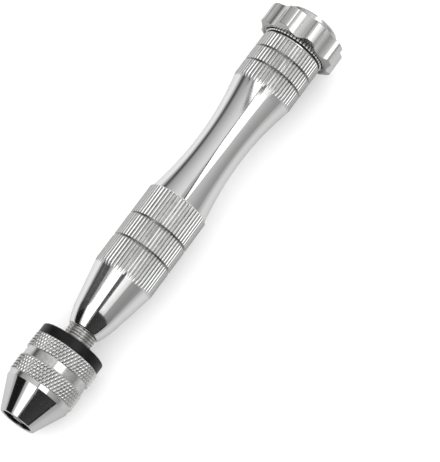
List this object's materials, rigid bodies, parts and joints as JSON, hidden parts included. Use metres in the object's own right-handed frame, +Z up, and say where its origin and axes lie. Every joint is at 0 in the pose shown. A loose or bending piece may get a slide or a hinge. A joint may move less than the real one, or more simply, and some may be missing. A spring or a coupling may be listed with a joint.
{
  "type": "pin vise drill",
  "caption": "Hand pin vise with a fluted, waisted metal handle, a keyless three-jaw chuck with a knurled sleeve, and a lobed palm cap that spins on a ball bearing.",
  "frame": {"origin": "on the ground plane, below the middle of the tool's length, with the tool lying on its side on two lobes of its cap", "axes": "+X along the tool axis from the chuck's nose to the cap, +Z up, away from the ground plane"},
  "size_m": [0.1278, 0.0214, 0.0214],
  "materials": {
    "polished_chrome": "polished, turned",
    "knurled_chrome": "polished with diamond knurled bands",
    "hardened_steel": "ground",
    "jaw_steel": "ground and lightly oiled",
    "black_ring": "satin",
    "threaded_steel": "cut thread",
    "polished_handle": "polished, with straight fluted grips",
    "tail_metal": "bright, beaded edge",
    "seal_rubber": "matte",
    "bearing_steel": "ground",
    "cage_brass": "stamped",
    "satin_cap": "satin, turned"
  },
  "bodies": {
    "handle": {"handle_body": "polished_handle", "chuck_spindle": "threaded_steel", "chuck_body": "hardened_steel", "thrust_washer": "hardened_steel", "chuck_rear_ring": "black_ring", "tail_plug": "tail_metal", "tail_o_ring": "seal_rubber", "bearing_inner_race": "bearing_steel", "retaining_washer": "hardened_steel", "retaining_screw": "hardened_steel"},
    "sleeve": {"chuck_nose_cone": "polished_chrome", "chuck_sleeve": "knurled_chrome", "nut_half_upper": "hardened_steel", "nut_half_lower": "hardened_steel"},
    "jaw_1": {"jaw_1": "jaw_steel"},
    "jaw_2": {"jaw_2": "jaw_steel"},
    "jaw_3": {"jaw_3": "jaw_steel"},
    "cap": {"swivel_cap": "satin_cap", "end_plug": "satin_cap", "bearing_outer_race": "bearing_steel", "bearing_shield_front": "bearing_steel", "bearing_shield_rear": "bearing_steel"},
    "cage": {"bearing_cage": "cage_brass", "bearing_balls": "bearing_steel"}
  },
  "joints": [
    {"name": "sleeve_turn", "type": "hinge", "parent": "handle", "child": "sleeve", "pos_m": [-0.05185, 0, 0.0107], "axis": [1, 0, 0], "range_deg": [-1306, 626]},
    {"name": "jaw_1_slide", "type": "slide", "parent": "handle", "child": "jaw_1", "axis": [-0.9613, -0.0479, 0.2714], "range_m": [-0.00363, 0.00174]},
    {"name": "jaw_2_slide", "type": "slide", "parent": "handle", "child": "jaw_2", "axis": [-0.9613, -0.2112, -0.1772], "range_m": [-0.00363, 0.00174]},
    {"name": "jaw_3_slide", "type": "slide", "parent": "handle", "child": "jaw_3", "axis": [-0.9613, 0.259, -0.0943], "range_m": [-0.00363, 0.00174]},
    {"name": "cap_spin", "type": "hinge", "parent": "handle", "child": "cap", "pos_m": [0.05845, 0, 0.0107], "axis": [1, 0, 0], "continuous": true},
    {"name": "cage_spin", "type": "hinge", "parent": "handle", "child": "cage", "pos_m": [0.05845, 0, 0.0107], "axis": [1, 0, 0], "continuous": true}
  ],
  "couplings": [
    {"joint": "jaw_1_slide", "follows": "sleeve_turn", "m_per_rad": 0.00015915},
    {"joint": "jaw_2_slide", "follows": "sleeve_turn", "m_per_rad": 0.00015915},
    {"joint": "jaw_3_slide", "follows": "sleeve_turn", "m_per_rad": 0.00015915},
    {"joint": "cage_spin", "follows": "cap_spin", "ratio": 0.6059}
  ]
}
